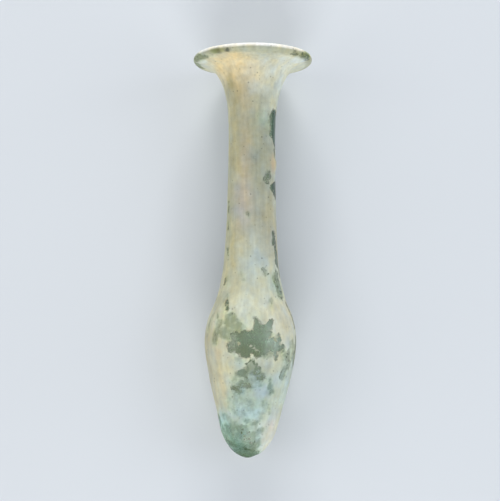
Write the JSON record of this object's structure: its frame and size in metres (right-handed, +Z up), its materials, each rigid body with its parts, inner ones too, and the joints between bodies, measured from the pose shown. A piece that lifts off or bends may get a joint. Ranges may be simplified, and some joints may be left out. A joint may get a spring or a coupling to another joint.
{
  "type": "glass perfume flask",
  "caption": "Slender blown glass perfume flask with a spindle body, long neck and wide flat rim, weathered, lying on its side.",
  "frame": {"origin": "on the ground under the middle of the flask's box, with the flask lying on its side", "axes": "+Y towards the mouth, nearly along the flask's axis, which rises 2.9 degrees towards the rim; +Z up, the side that the picture shows; +X to that side's right"},
  "size_m": [0.036, 0.1222, 0.0358],
  "materials": {
    "weathered_glass": "green blown glass under a thin cream weathering crust, flaked off in patches"
  },
  "bodies": {
    "root": {"flask": "weathered_glass"}
  },
  "joints": []
}
